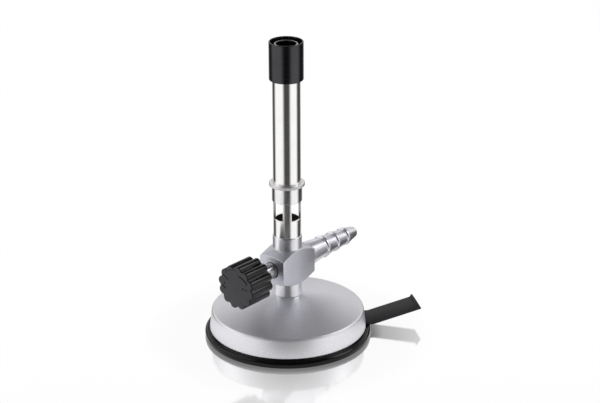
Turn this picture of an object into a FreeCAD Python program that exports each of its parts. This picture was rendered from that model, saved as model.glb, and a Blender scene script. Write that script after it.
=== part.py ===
import FreeCAD, Part
import math
import os
import Sketcher

# Bunsen burner on a suction base. Millimetres, +Z up. The origin is on the bench, on the burner's
# axis, and +X runs out along the hose nozzle, so the valve knob is on the -X side.

doc = FreeCAD.newDocument("bunsen_burner")
sheet = doc.addObject("Spreadsheet::Sheet", "Sizes")


class Size:
    """A length or an angle: its value, and the sheet expression that it comes from."""

    def __init__(self, value, text):
        self.value = value
        self.text = text

    def __add__(self, other):
        return Size(self.value + number(other), f"({self.text} + {words(other)})")

    def __radd__(self, other):
        return Size(number(other) + self.value, f"({words(other)} + {self.text})")

    def __sub__(self, other):
        return Size(self.value - number(other), f"({self.text} - {words(other)})")

    def __mul__(self, other):
        return Size(self.value * number(other), f"({self.text} * {words(other)})")

    def __truediv__(self, other):
        return Size(self.value / number(other), f"({self.text} / {words(other)})")

    def __neg__(self):
        return Size(-self.value, f"(-{self.text})")


def number(item):
    return item.value if isinstance(item, Size) else float(item)


def words(item):
    return item.text if isinstance(item, Size) else repr(float(item))


def sine(angle):
    return Size(math.sin(math.radians(angle.value)), f"sin({angle.text})")


def cosine(angle):
    return Size(math.cos(math.radians(angle.value)), f"cos({angle.text})")


def tangent(angle):
    return Size(math.tan(math.radians(angle.value)), f"tan({angle.text})")


def size(alias, value):
    """A driving dimension: a plain number in the sheet, under its own name."""
    row = size.rows = size.rows + 1
    sheet.set(f"A{row}", alias.replace("_", " "))
    sheet.set(f"B{row}", str(value))
    sheet.setAlias(f"B{row}", alias)
    return Size(value, f"Sizes.{alias}")


size.rows = 0
AXIS = None     # a corner's place that lies on the sketch's own axis

# Clearances
fixed_gap = size("fixed_gap", 0.02)
running_gap = size("running_gap", 0.06)
sliding_gap = size("sliding_gap", 0.1)
lever_gap = size("lever_gap", 0.6)

# Suction pad and the stud moulded into it
seat_height = size("seat_height", 3.8)
pad_margin = size("pad_margin", 2.3)
pad_bead_height = size("pad_bead_height", 3.3)
pad_bead_width = size("pad_bead_width", 2.4)
pad_groove_depth = size("pad_groove_depth", 0.7)
pad_contact_width = size("pad_contact_width", 7.0)
pad_dome_height = size("pad_dome_height", 2.7)
pad_web = size("pad_web", 2.0)
pad_hub_diameter = size("pad_hub_diameter", 24.0)
stud_plate_diameter = size("stud_plate_diameter", 19.0)
stud_plate_thickness = size("stud_plate_thickness", 1.2)
stud_skin = size("stud_skin", 0.9)
stud_shank_diameter = size("stud_shank_diameter", 5.0)
stud_head_diameter = size("stud_head_diameter", 11.6)
stud_head_thickness = size("stud_head_thickness", 1.8)
stud_guide_diameter = size("stud_guide_diameter", 3.4)
stud_guide_length = size("stud_guide_length", 4.5)

# Base housing
skirt_diameter = size("skirt_diameter", 74.8)
rim_diameter = size("rim_diameter", 72.6)
skirt_height = size("skirt_height", 9.4)
rim_rounding = size("rim_rounding", 1.6)
cone_rise = size("cone_rise", 7.8)
base_wall = size("base_wall", 2.6)
skirt_wall = size("skirt_wall", 3.2)
rim_wall = size("rim_wall", 2.1)
base_boss_diameter = size("base_boss_diameter", 18.0)
base_boss_thickness = size("base_boss_thickness", 3.5)
lug_thickness = size("lug_thickness", 2.8)
lug_length = size("lug_length", 6.4)
lug_below_pin = size("lug_below_pin", 2.4)

# Suction lever
lever_bearing = size("lever_bearing", -37.6)
lever_swing = size("lever_swing", 14.0)
lever_width = size("lever_width", 11.8)
lever_thickness = size("lever_thickness", 2.1)
bend_margin = size("bend_margin", 1.3)
lever_tip_length = size("lever_tip_length", 23.8)
lever_slope = size("lever_slope", 13.8)
lever_underside = size("lever_underside", 2.5)
lip_height = size("lip_height", 1.0)
lip_length = size("lip_length", 2.9)
lip_slant = size("lip_slant", 1.7)
lip_crest = size("lip_crest", 0.5)
tip_rounding = size("tip_rounding", 0.8)
pivot_reach = size("pivot_reach", 15.0)
pivot_height = size("pivot_height", 8.4)
pivot_pin_diameter = size("pivot_pin_diameter", 2.5)
nose_reach = size("nose_reach", 4.5)
nose_diameter = size("nose_diameter", 3.0)
nose_gap = size("nose_gap", 0.15)
washer_diameter = size("washer_diameter", 6.0)
washer_thickness = size("washer_thickness", 0.5)

# Stem fastening
tail_diameter = size("tail_diameter", 8.0)
tail_length = size("tail_length", 8.0)
guide_hole_depth = size("guide_hole_depth", 6.0)
nut_across_flats = size("nut_across_flats", 13.0)
nut_height = size("nut_height", 3.2)
lock_washer_diameter = size("lock_washer_diameter", 14.0)
lock_washer_thickness = size("lock_washer_thickness", 0.8)

# Valve body
stem_diameter = size("stem_diameter", 13.8)
stem_chamfer = size("stem_chamfer", 0.5)
axis_above_foot = size("axis_above_foot", 15.2)
block_length = size("block_length", 22.8)
block_width = size("block_width", 14.7)
block_height = size("block_height", 17.7)
block_slope = size("block_slope", 24.5)
boss_height = size("boss_height", 14.9)
spigot_height = size("spigot_height", 5.0)
passage_diameter = size("passage_diameter", 2.8)
chamber_diameter = size("chamber_diameter", 4.4)
seat_hole_diameter = size("seat_hole_diameter", 2.0)
seat_reach = size("seat_reach", 2.0)
socket_reach = size("socket_reach", 5.0)
socket_diameter = size("socket_diameter", 8.6)
gasket_thickness = size("gasket_thickness", 0.5)

# Hose nozzle: ring stations along the axis, and radii
nozzle_bore_diameter = size("nozzle_bore_diameter", 3.4)
nozzle_root_diameter = size("nozzle_root_diameter", 12.4)
first_ring = size("first_ring", 24.9)
ring_pitch = size("ring_pitch", 8.1)
ring_land = size("ring_land", 1.0)
ring_diameter = size("ring_diameter", 10.8)
ring_step = size("ring_step", 1.0)
ring_rise = size("ring_rise", 0.55)
ring_fall = size("ring_fall", 0.4)
ring_flank = size("ring_flank", 0.6)
nozzle_reach = size("nozzle_reach", 49.8)
nozzle_tip_diameter = size("nozzle_tip_diameter", 5.0)
nozzle_tip_rounding = size("nozzle_tip_rounding", 0.7)

# Gland, spindle and knob: stations are distances from the burner's axis
gland_diameter = size("gland_diameter", 7.6)
gland_thread_length = size("gland_thread_length", 3.2)
gland_reach = size("gland_reach", 22.2)
gland_lip = size("gland_lip", 1.0)
gland_chamfer = size("gland_chamfer", 0.4)
spindle_thread_diameter = size("spindle_thread_diameter", 5.0)
spindle_shank_diameter = size("spindle_shank_diameter", 2.6)
spindle_travel = size("spindle_travel", 1.5)
needle_tip_diameter = size("needle_tip_diameter", 0.8)
needle_length = size("needle_length", 2.0)
o_ring_section = size("o_ring_section", 1.2)
o_ring_reach = size("o_ring_reach", 17.0)
clip_thickness = size("clip_thickness", 0.6)
clip_opening = size("clip_opening", 1.6)
spindle_end_diameter = size("spindle_end_diameter", 4.0)
spindle_reach = size("spindle_reach", 33.0)
insert_diameter = size("insert_diameter", 7.0)
insert_length = size("insert_length", 10.0)
knob_back = size("knob_back", 22.5)
knob_length = size("knob_length", 14.3)
knob_core_diameter = size("knob_core_diameter", 19.2)
knob_rib_diameter = size("knob_rib_diameter", 4.3)
knob_diameter = size("knob_diameter", 21.5)
knob_ribs = size("knob_ribs", 12)
knob_rib_bearing = size("knob_rib_bearing", 21.5)
knob_chamfer = size("knob_chamfer", 0.5)

# Gas jet
jet_thread_diameter = size("jet_thread_diameter", 5.0)
jet_thread_length = size("jet_thread_length", 6.0)
jet_head_diameter = size("jet_head_diameter", 6.4)
jet_head_height = size("jet_head_height", 1.0)
jet_bore_diameter = size("jet_bore_diameter", 2.0)
jet_hole_diameter = size("jet_hole_diameter", 0.8)
jet_hole_length = size("jet_hole_length", 0.8)

# Burner tube
tube_diameter = size("tube_diameter", 13.0)
tube_wall = size("tube_wall", 1.0)
tube_length = size("tube_length", 87.0)
window_sill = size("window_sill", 8.4)
window_height = size("window_height", 9.0)
window_width = size("window_width", 5.8)
window_bearing = size("window_bearing", -4.1)

# Air sleeve and its spring ring
sleeve_diameter = size("sleeve_diameter", 14.2)
sleeve_length = size("sleeve_length", 9.05)
sleeve_lap = size("sleeve_lap", 0.2)
sleeve_chamfer = size("sleeve_chamfer", 0.3)
flange_diameter = size("flange_diameter", 16.7)
flange_thickness = size("flange_thickness", 1.6)
flange_rounding = size("flange_rounding", 0.5)
ring_section = size("ring_section", 0.8)
ring_opening = size("ring_opening", 3.0)

# Burner head and flame insert
head_diameter = size("head_diameter", 16.0)
head_length = size("head_length", 18.2)
head_rise = size("head_rise", 8.0)
head_lip = size("head_lip", 0.65)
head_rounding = size("head_rounding", 0.5)
flame_wall = size("flame_wall", 0.65)
flame_drop = size("flame_drop", 1.1)
flame_length = size("flame_length", 15.0)
port_diameter = size("port_diameter", 1.4)
ports_above_tube = size("ports_above_tube", 1.8)

# Heights that several pieces share
skirt_top = seat_height + skirt_height
foot = skirt_top + cone_rise
valve_axis = foot + axis_above_foot
tube_foot = valve_axis + boss_height
tube_top = tube_foot + tube_length
head_top = tube_top + head_rise
window_bottom = tube_foot + window_sill
window_top = window_bottom + window_height
sleeve_bottom = window_top + sleeve_lap
tube_radius = tube_diameter / 2
tube_bore_radius = tube_radius - tube_wall
head_inside = head_diameter / 2 - head_lip
boss_under = foot - base_boss_thickness
cone_slope = cone_rise / (rim_diameter / 2 - stem_diameter / 2)
doc.recompute()

SKETCH_AXES = {"DistanceX": -2, "DistanceY": -1}
ORIGIN = (-1, 1)


def origin_plane(body, role):
    return [item for item in body.Origin.OriginFeatures if item.Role == role][0]


def new_body(label):
    body = doc.addObject("PartDesign::Body", label)
    body.Label = label
    return body


def outline_sketch(body, name, outline, plane="XZ_Plane", lift=None):
    """A closed outline of straight edges, with every corner bound to the sheet (None is on an axis)."""
    sketch = body.newObject("Sketcher::SketchObject", f"{body.Label}_{name}_outline")
    sketch.AttachmentSupport = [(origin_plane(body, plane), "")]
    sketch.MapMode = "FlatFace"
    if lift is not None:
        sketch.setExpression("AttachmentOffset.Base.y", lift.text)
    corners = [FreeCAD.Vector(*(0.0 if place is AXIS else place.value for place in corner), 0)
               for corner in outline]
    count = len(corners)
    for index, corner in enumerate(corners):
        sketch.addGeometry(Part.LineSegment(corner, corners[(index + 1) % count]), False)
    sketch.addConstraint([Sketcher.Constraint("Coincident", index, 2, (index + 1) % count, 1)
                          for index in range(count)])
    for index, corner in enumerate(outline):
        for kind, place in zip(SKETCH_AXES, corner):
            if place is AXIS:
                sketch.addConstraint(Sketcher.Constraint("PointOnObject", index, 1, SKETCH_AXES[kind]))
            else:
                item = sketch.addConstraint(Sketcher.Constraint(kind, *ORIGIN, index, 1, place.value))
                sketch.setExpression(f"Constraints[{item}]", place.text)
    return sketch


def circle_sketch(body, name, across, up, diameter, plane, lift=None):
    """One round hole or pin: a circle with its centre and diameter bound to the sheet."""
    sketch = body.newObject("Sketcher::SketchObject", f"{body.Label}_{name}_circle")
    sketch.AttachmentSupport = [(origin_plane(body, plane), "")]
    sketch.MapMode = "FlatFace"
    if lift is not None:
        sketch.setExpression("AttachmentOffset.Base.y", lift.text)
    middle = FreeCAD.Vector(*(0.0 if place is AXIS else place.value for place in (across, up)), 0)
    sketch.addGeometry(Part.Circle(middle, FreeCAD.Vector(0, 0, 1), diameter.value / 2), False)
    item = sketch.addConstraint(Sketcher.Constraint("Diameter", 0, diameter.value))
    sketch.setExpression(f"Constraints[{item}]", diameter.text)
    for kind, place in zip(SKETCH_AXES, (across, up)):
        if place is AXIS:
            sketch.addConstraint(Sketcher.Constraint("PointOnObject", 0, 3, SKETCH_AXES[kind]))
        else:
            item = sketch.addConstraint(Sketcher.Constraint(kind, *ORIGIN, 0, 3, place.value))
            sketch.setExpression(f"Constraints[{item}]", place.text)
    return sketch


def revolve(body, kind, name, outline, about, lift=None):
    """Adds (Revolution) or takes away (Groove) an outline turned about the sketch's own axis."""
    sketch = outline_sketch(body, name, outline, lift=lift)
    feature = body.newObject(f"PartDesign::{kind}", f"{body.Label}_{name}")
    feature.Profile = sketch
    feature.ReferenceAxis = (sketch, [about])
    feature.Angle = 360
    return feature


def turned(label, outline, about="V_Axis"):
    body = new_body(label)
    revolve(body, "Revolution", "turned", outline, about)
    return body


def ring(label, inner, outer, low, high, about="V_Axis"):
    """A plain round ring between two radii and two stations."""
    if about == "V_Axis":
        return turned(label, [(inner, low), (outer, low), (outer, high), (inner, high)])
    return turned(label, [(low, inner), (high, inner), (high, outer), (low, outer)], about)


def cut_through(body, name, sketch):
    pocket = body.newObject("PartDesign::Pocket", f"{body.Label}_{name}")
    pocket.Profile = sketch
    pocket.Type = "ThroughAll"
    pocket.SideType = "Symmetric"
    return pocket


def pad_across(body, name, sketch, length):
    """A pad of the given length, centred on the sketch's plane."""
    pad = body.newObject("PartDesign::Pad", f"{body.Label}_{name}")
    pad.Profile = sketch
    pad.SideType = "Symmetric"
    pad.setExpression("Length", length.text)
    return pad


def rectangle(left, right, low, high):
    return [(left, low), (right, low), (right, high), (left, high)]


def cut_one_side(body, name, outline, plane, depth):
    """A pocket from a plane towards the side that holds the solid."""
    doc.recompute()
    before = body.Tip.Shape.Volume
    pocket = body.newObject("PartDesign::Pocket", f"{body.Label}_{name}")
    pocket.Profile = outline_sketch(body, name, outline, plane)
    pocket.setExpression("Length", depth.text)
    doc.recompute()
    if abs(pocket.Shape.Volume - before) < 1e-6:
        pocket.Reversed = True
    return pocket


def copies_around(body, name, feature, axis, count):
    """Turns a feature round one of the body's own axes, in equal steps."""
    pattern = body.newObject("PartDesign::PolarPattern", f"{body.Label}_{name}")
    pattern.Originals = [feature]
    pattern.Axis = ([item for item in body.Origin.OriginFeatures if item.Role == axis][0], [""])
    pattern.Angle = 360
    pattern.setExpression("Occurrences", count.text)
    body.Tip = pattern
    return pattern


def round_edges(body, name, radius, chosen):
    """A fillet on the edges of the body that the given test picks."""
    doc.recompute()
    base = body.Tip
    names = [f"Edge{index}" for index, edge in enumerate(base.Shape.Edges, 1) if chosen(edge)]
    fillet = body.newObject("PartDesign::Fillet", f"{body.Label}_{name}")
    fillet.Base = (base, names)
    fillet.setExpression("Radius", radius.text)
    return fillet


def near(value, target):
    return abs(value - number(target)) < 1e-4


def circle_at(radius, station, along="z"):
    """Picks full or part circles of a radius at a station along an axis."""
    def chosen(edge):
        curve = edge.Curve
        if not isinstance(curve, Part.Circle):
            return False
        return near(curve.Radius, radius) and near(getattr(curve.Center, along), station)
    return chosen


def either(*tests):
    return lambda edge: any(test(edge) for test in tests)


def turn_about_z(body, angle):
    body.Placement.Rotation = FreeCAD.Rotation(FreeCAD.Vector(0, 0, 1), 1)
    body.setExpression("Placement.Rotation.Angle", angle.text)


def lift_to(body, height):
    body.setExpression("Placement.Base.z", height.text)


# Base housing: a cast shell with a conical top, a lever slot in the skirt and two lugs for the
# lever's pin. Its own +X is the lever's direction.
skirt_inside = skirt_diameter / 2 - skirt_wall
rim_inside = rim_diameter / 2 - rim_wall
ceiling_edge = skirt_top - base_wall
boss_radius = base_boss_diameter / 2
tail_hole = tail_diameter / 2 + sliding_gap
ceiling_at_boss = ceiling_edge + (rim_inside - boss_radius) * cone_slope
housing = turned("base_housing", [
    (tail_hole, boss_under),
    (boss_radius, boss_under),
    (boss_radius, ceiling_at_boss),
    (rim_inside, ceiling_edge),
    (skirt_inside, seat_height),
    (skirt_diameter / 2, seat_height),
    (rim_diameter / 2, skirt_top),
    (stem_diameter / 2, foot),
    (tail_hole, foot),
])
round_edges(housing, "rim", rim_rounding, circle_at(rim_diameter / 2, skirt_top))
round_edges(housing, "skirt_edge", rim_rounding / 4, circle_at(skirt_diameter / 2, seat_height))
lever_half = lever_width / 2
lug_inner = lever_half + washer_thickness + running_gap
lug_outer = lug_inner + lug_thickness
lug_bottom = pivot_height - lug_below_pin
lug_ceiling = ceiling_edge + (rim_inside - pivot_reach - lug_length / 2) * cone_slope
lug_side = outline_sketch(housing, "lugs", rectangle(
    pivot_reach - lug_length / 2, pivot_reach + lug_length / 2, lug_bottom, lug_ceiling + base_wall / 2))
pad_across(housing, "lugs", lug_side, lug_outer * 2)
between_lugs = outline_sketch(housing, "between_lugs", rectangle(
    pivot_reach - lug_length, pivot_reach + lug_length,
    lug_bottom - lug_below_pin, lug_ceiling - base_wall / 4))
lug_room = housing.newObject("PartDesign::Pocket", "base_housing_between_lugs")
lug_room.Profile = between_lugs
lug_room.SideType = "Symmetric"
lug_room.setExpression("Length", (lug_inner * 2).text)
pin_hole = housing.newObject("PartDesign::Pocket", "base_housing_pin_hole")
pin_hole.Profile = circle_sketch(housing, "pin_hole", pivot_reach, pivot_height,
                                 pivot_pin_diameter + fixed_gap * 2, "XZ_Plane")
pin_hole.SideType = "Symmetric"
pin_hole.setExpression("Length", (lug_outer * 2 + lug_thickness).text)
slot_arm = skirt_diameter / 2 - pivot_reach
slot_top = (pivot_height + slot_arm * sine(lever_swing)
            + (lever_underside + lever_thickness - pivot_height) * cosine(lever_swing) + lever_gap)
slot = outline_sketch(housing, "lever_slot", rectangle(
    rim_inside - skirt_wall * 2, skirt_diameter / 2 + skirt_wall, lever_underside, slot_top))
lever_slot = housing.newObject("PartDesign::Pocket", "base_housing_lever_slot")
lever_slot.Profile = slot
lever_slot.SideType = "Symmetric"
lever_slot.setExpression("Length", (lever_width + lever_gap * 2).text)
turn_about_z(housing, lever_bearing)

# Suction pad: a moulded rubber disc with a bead that shows round the skirt, a land that the skirt
# stands on, a domed web and a hub round the stud's plate. A notch in the rim lets the lever through.
pad_radius = skirt_diameter / 2 + pad_margin
bead_crown = pad_radius - pad_bead_width / 2
land_outer = pad_radius - pad_bead_width
land_inner = skirt_inside - pad_web
contact_inner = land_outer - pad_contact_width
hub_radius = pad_hub_diameter / 2
plate_radius = stud_plate_diameter / 2
plate_bottom = pad_dome_height + stud_skin
plate_top = plate_bottom + stud_plate_thickness
hub_top = plate_top + stud_skin
shank_radius = stud_shank_diameter / 2
pad = turned("suction_pad", [
    (AXIS, pad_dome_height),
    (hub_radius, pad_dome_height),
    (contact_inner, AXIS),
    (pad_radius - pad_bead_width / 4, AXIS),
    (pad_radius, pad_bead_height / 4),
    (pad_radius, pad_bead_height * 0.75),
    (bead_crown, pad_bead_height),
    (land_outer + pad_groove_depth / 2, pad_bead_height - pad_groove_depth),
    (land_outer, seat_height),
    (land_inner, seat_height),
    (contact_inner, pad_web + fixed_gap),
    (hub_radius, pad_dome_height + pad_web),
    (hub_radius, hub_top),
    (shank_radius + running_gap, hub_top),
    (shank_radius + running_gap, plate_top + running_gap),
    (plate_radius + running_gap, plate_top + running_gap),
    (plate_radius + running_gap, plate_bottom - running_gap),
    (AXIS, plate_bottom - running_gap),
])
round_edges(pad, "bead", pad_bead_height / 5, either(
    circle_at(pad_radius, pad_bead_height / 4), circle_at(pad_radius, pad_bead_height * 0.75),
    circle_at(bead_crown, pad_bead_height)))
notch_floor = lever_underside - lever_gap
notch = outline_sketch(pad, "lever_notch", rectangle(
    contact_inner - pad_web, pad_radius + pad_bead_width, notch_floor, seat_height * 2))
lever_notch = pad.newObject("PartDesign::Pocket", "suction_pad_lever_notch")
lever_notch.Profile = notch
lever_notch.SideType = "Symmetric"
lever_notch.setExpression("Length", (lever_width + lever_gap * 2).text)
turn_about_z(pad, lever_bearing)

# Pull stud: a turned stud with its plate in the pad, a head that the lever's fork lifts, and a guide
# pin that runs in the hollow tail of the valve body.
head_under = pivot_height + nose_diameter / 2 + nose_gap
stud_head_top = head_under + stud_head_thickness
turned("pull_stud", [
    (AXIS, plate_bottom),
    (plate_radius, plate_bottom),
    (plate_radius, plate_top),
    (shank_radius, plate_top),
    (shank_radius, head_under),
    (stud_head_diameter / 2, head_under),
    (stud_head_diameter / 2, stud_head_top),
    (stud_guide_diameter / 2, stud_head_top),
    (stud_guide_diameter / 2, stud_head_top + stud_guide_length),
    (AXIS, stud_head_top + stud_guide_length),
])

# Suction lever: a bent strip with a fork at its inner end and a raised lip at its tip.
lever = new_body("suction_lever")
arm_bottom = pivot_height - lever_thickness / 2
joggle_outer = skirt_inside - lever_gap * 2
lever_bend = pad_radius + bend_margin
lever_reach = lever_bend + lever_tip_length
joggle_inner = joggle_outer - (arm_bottom - lever_underside) * 1.25
tip_bottom = lever_underside + (lever_reach - lever_bend) * tangent(lever_slope)
lip_start = lever_reach - lip_length
lip_foot = lever_underside + (lip_start - lever_bend) * tangent(lever_slope) + lever_thickness
lip_end = lever_reach - lip_slant
lip_top = lever_underside + (lip_end - lever_bend) * tangent(lever_slope) + lever_thickness + lip_height
arm_end = nose_reach
strip = [
    (arm_end, arm_bottom),
    (joggle_inner, arm_bottom),
    (joggle_outer, lever_underside),
    (lever_bend, lever_underside),
    (lever_reach, tip_bottom),
    (lip_end, lip_top),
    (lip_end - lip_crest, lip_top),
    (lip_start, lip_foot),
    (lever_bend, lever_underside + lever_thickness),
    (joggle_outer, lever_underside + lever_thickness),
    (joggle_inner, arm_bottom + lever_thickness),
    (arm_end, arm_bottom + lever_thickness),
]
pad_across(lever, "strip", outline_sketch(lever, "strip", strip), lever_width)
pad_across(lever, "nose", circle_sketch(lever, "nose", nose_reach, pivot_height, nose_diameter, "XZ_Plane"),
           lever_width)
pad_across(lever, "eye", circle_sketch(lever, "eye", pivot_reach, pivot_height,
                                       pivot_pin_diameter * 1.8, "XZ_Plane"), lever_width)
fork_half = shank_radius + lever_gap
fork = outline_sketch(lever, "fork", rectangle(
    -pivot_reach, pivot_reach - pivot_pin_diameter * 1.6, -fork_half, fork_half), "XY_Plane")
cut_through(lever, "fork", fork)
cut_through(lever, "pin_hole", circle_sketch(
    lever, "pin_hole", pivot_reach, pivot_height, pivot_pin_diameter + running_gap * 2, "XZ_Plane"))


def lever_tip_corner(edge):
    middle = edge.CenterOfMass
    flat = near(abs(middle.y), lever_half) and abs(edge.tangentAt(edge.FirstParameter).y) < 1e-6
    return flat and near(middle.x, lever_reach - lip_slant / 2)


round_edges(lever, "tip_corners", tip_rounding, lever_tip_corner)
turn_about_z(lever, lever_bearing)

# Lever pin: a plain pin pressed through the two lugs.
lever_pin = new_body("lever_pin")
pad_across(lever_pin, "pin", circle_sketch(lever_pin, "pin", pivot_reach, pivot_height, pivot_pin_diameter,
                                           "XZ_Plane"), lug_outer * 2)
turn_about_z(lever_pin, lever_bearing)

# Lever washers: two friction washers on the pin, one each side of the lever.
washers = new_body("lever_washers")
pad_across(washers, "pair", circle_sketch(washers, "pair", pivot_reach, pivot_height, washer_diameter,
                                          "XZ_Plane"), (lever_half + washer_thickness) * 2)
middle_room = washers.newObject("PartDesign::Pocket", "lever_washers_room")
middle_room.Profile = outline_sketch(washers, "room", rectangle(
    pivot_reach - washer_diameter, pivot_reach + washer_diameter,
    pivot_height - washer_diameter, pivot_height + washer_diameter))
middle_room.SideType = "Symmetric"
middle_room.setExpression("Length", ((lever_half + running_gap) * 2).text)
cut_through(washers, "hole", circle_sketch(washers, "hole", pivot_reach, pivot_height,
                                           pivot_pin_diameter + fixed_gap * 2, "XZ_Plane"))
washers.AllowCompound = True
turn_about_z(washers, lever_bearing)

# Lock washer and stem nut: they clamp the valve body's tail to the underside of the base.
ring("lock_washer", tail_diameter / 2 + sliding_gap, lock_washer_diameter / 2,
     boss_under - lock_washer_thickness, boss_under)
nut_top = boss_under - lock_washer_thickness
nut_bottom = nut_top - nut_height
nut = new_body("stem_nut")
nut_half = nut_across_flats / 2
nut_corner = nut_across_flats / math.sqrt(3)
hexagon = outline_sketch(nut, "hexagon", [
    (nut_corner, AXIS), (nut_corner / 2, nut_half), (-(nut_corner / 2), nut_half),
    (-nut_corner, AXIS), (-(nut_corner / 2), -nut_half), (nut_corner / 2, -nut_half)], "XY_Plane")
pad_across(nut, "hexagon", hexagon, nut_height)
cut_through(nut, "thread", circle_sketch(
    nut, "thread", AXIS, AXIS, tail_diameter + fixed_gap * 2, "XY_Plane"))
lift_to(nut, nut_bottom + nut_height / 2)

# Valve body: one turned forging with a flat-sided block, a stem below and a boss above, drilled
# along the valve's axis and up to the jet.
stem_radius = stem_diameter / 2
block_corner = Size(math.hypot(block_length.value, block_width.value) / 2,
                    f"(sqrt({(block_length * block_length + block_width * block_width).text}) / 2)")
flare = block_corner + stem_chamfer
flare_drop = (flare - stem_radius) * tangent(block_slope)
block_top = valve_axis + block_height / 2
block_bottom = valve_axis - block_height / 2
spigot_radius = tube_bore_radius - fixed_gap
tail_radius = tail_diameter / 2
tail_end = foot - tail_length
guide_hole = stud_guide_diameter / 2 + sliding_gap
valve_body = turned("valve_body", [
    (guide_hole, tail_end),
    (tail_radius, tail_end),
    (tail_radius, foot),
    (stem_radius - stem_chamfer, foot),
    (stem_radius, foot + stem_chamfer),
    (stem_radius, block_bottom),
    (flare, block_bottom + flare_drop),
    (flare, block_top - flare_drop),
    (stem_radius, block_top),
    (stem_radius, tube_foot - stem_chamfer),
    (stem_radius - stem_chamfer, tube_foot),
    (spigot_radius, tube_foot),
    (spigot_radius, tube_foot + spigot_height),
    (AXIS, tube_foot + spigot_height),
    (AXIS, tail_end + guide_hole_depth),
    (guide_hole, tail_end + guide_hole_depth),
])
half_length = block_length / 2
half_width = block_width / 2
for side, (plane, half) in enumerate((("YZ_Plane", half_width), ("XZ_Plane", half_length))):
    for sign, hand in ((1, "right"), (-1, "left")):
        outline = rectangle(half * sign, flare * (2 * sign), block_bottom, block_top)
        cut_through(valve_body, f"flat_{side}_{hand}", outline_sketch(
            valve_body, f"flat_{side}_{hand}", outline, plane))
socket_radius = socket_diameter / 2
revolve(valve_body, "Groove", "nozzle_socket", [
    (seat_reach, AXIS), (flare * 1.5, AXIS), (flare * 1.5, socket_radius), (socket_reach, socket_radius),
    (socket_reach, seat_hole_diameter / 2), (seat_reach, seat_hole_diameter / 2)], "H_Axis", valve_axis)
revolve(valve_body, "Groove", "gland_socket", [
    (seat_reach, AXIS), (seat_reach, chamber_diameter / 2), (-socket_reach, chamber_diameter / 2),
    (-socket_reach, socket_radius), (-(flare * 1.5), socket_radius), (-(flare * 1.5), AXIS)],
    "H_Axis", valve_axis)
jet_seat = tube_foot + spigot_height - jet_thread_length
revolve(valve_body, "Groove", "gas_passage", [
    (AXIS, valve_axis), (passage_diameter / 2, valve_axis), (passage_diameter / 2, jet_seat),
    (jet_thread_diameter / 2 + fixed_gap, jet_seat),
    (jet_thread_diameter / 2 + fixed_gap, tube_foot + spigot_height + jet_head_height),
    (AXIS, tube_foot + spigot_height + jet_head_height)], "V_Axis")

# Hose nozzle: a turned nozzle with three hose rings, screwed into the block.
nozzle_bore = nozzle_bore_diameter / 2
nozzle_outline = [
    (socket_reach + gasket_thickness, nozzle_bore),
    (socket_reach + gasket_thickness, socket_radius - fixed_gap),
    (half_length, socket_radius - fixed_gap),
    (half_length, nozzle_root_diameter / 2),
    (first_ring - ring_flank, ring_diameter / 2 - ring_rise),
]
for turn in range(3):
    station = first_ring + ring_pitch * turn
    crest = ring_diameter / 2 - ring_step / 2 * turn
    nozzle_outline.append((station, crest))
    nozzle_outline.append((station + ring_land, crest))
    nozzle_outline.append((station + ring_land + ring_flank, crest - ring_fall))
    if turn < 2:
        nozzle_outline.append((station + ring_pitch - ring_flank, crest - ring_step / 2 - ring_rise))
nozzle_tip = nozzle_tip_diameter / 2
nozzle_outline.append((nozzle_reach - nozzle_tip_rounding, nozzle_tip + nozzle_tip_rounding / 4))
nozzle_outline.append((nozzle_reach, nozzle_tip - nozzle_tip_rounding / 2))
nozzle_outline.append((nozzle_reach, nozzle_bore))
nozzle = turned("hose_nozzle", nozzle_outline, "H_Axis")
lift_to(nozzle, valve_axis)

# Sealing rings at the bottom of the two sockets.
gaskets = (("nozzle_gasket", nozzle_bore, 0), ("gland_gasket", chamber_diameter / 2, 180))
for label, inner, half_turn in gaskets:
    gasket = ring(label, inner + sliding_gap, socket_radius - sliding_gap,
                  socket_reach, socket_reach + gasket_thickness, "H_Axis")
    gasket.Placement.Rotation = FreeCAD.Rotation(FreeCAD.Vector(0, 0, 1), half_turn)
    lift_to(gasket, valve_axis)


def on_knob_side(body):
    """Stations on the knob side are distances from the burner's axis, turned to point along -X."""
    body.Placement.Rotation = FreeCAD.Rotation(FreeCAD.Vector(0, 0, 1), 180)
    lift_to(body, valve_axis)


# Gland nut: a polished round nut that carries the spindle's thread and its seal.
gland_start = socket_reach + gasket_thickness
thread_start = gland_start + gland_lip
spindle_radius = spindle_thread_diameter / 2
shank = spindle_shank_diameter / 2
gland = turned("gland_nut", [
    (gland_start, shank + sliding_gap),
    (gland_start, socket_radius - fixed_gap),
    (gland_start + gland_thread_length, socket_radius - fixed_gap),
    (gland_start + gland_thread_length, gland_diameter / 2),
    (gland_reach - gland_chamfer, gland_diameter / 2),
    (gland_reach, gland_diameter / 2 - gland_chamfer),
    (gland_reach, spindle_radius + running_gap),
    (thread_start, spindle_radius + running_gap),
    (thread_start, shank + sliding_gap),
], "H_Axis")
on_knob_side(gland)

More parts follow.
